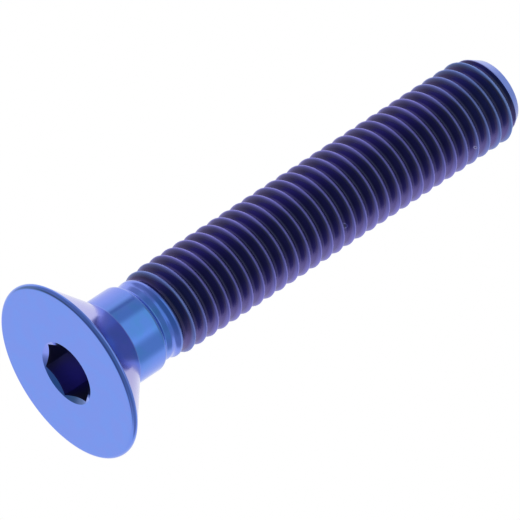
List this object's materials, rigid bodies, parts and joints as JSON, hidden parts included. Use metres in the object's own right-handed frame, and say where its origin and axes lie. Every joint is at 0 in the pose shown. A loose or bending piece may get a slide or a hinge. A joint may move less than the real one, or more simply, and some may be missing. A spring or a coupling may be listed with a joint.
{
  "type": "countersunk socket screw",
  "caption": "Countersunk hex socket screw with a flat head, plain collar, necked run-in, coarse right-hand thread and bevelled tip, in blue-violet anodised titanium.",
  "frame": {"origin": "centre of the head's flat face, on which the screw stands", "axes": "+Z along the screw's axis from the head to the tip, +X through a corner of the hexagon"},
  "size_m": [0.01, 0.01, 0.03],
  "materials": {
    "anodised_titanium": "blue-violet anodised titanium, polished head and collar, darker satin thread"
  },
  "bodies": {
    "root": {"screw": "anodised_titanium"}
  },
  "joints": []
}
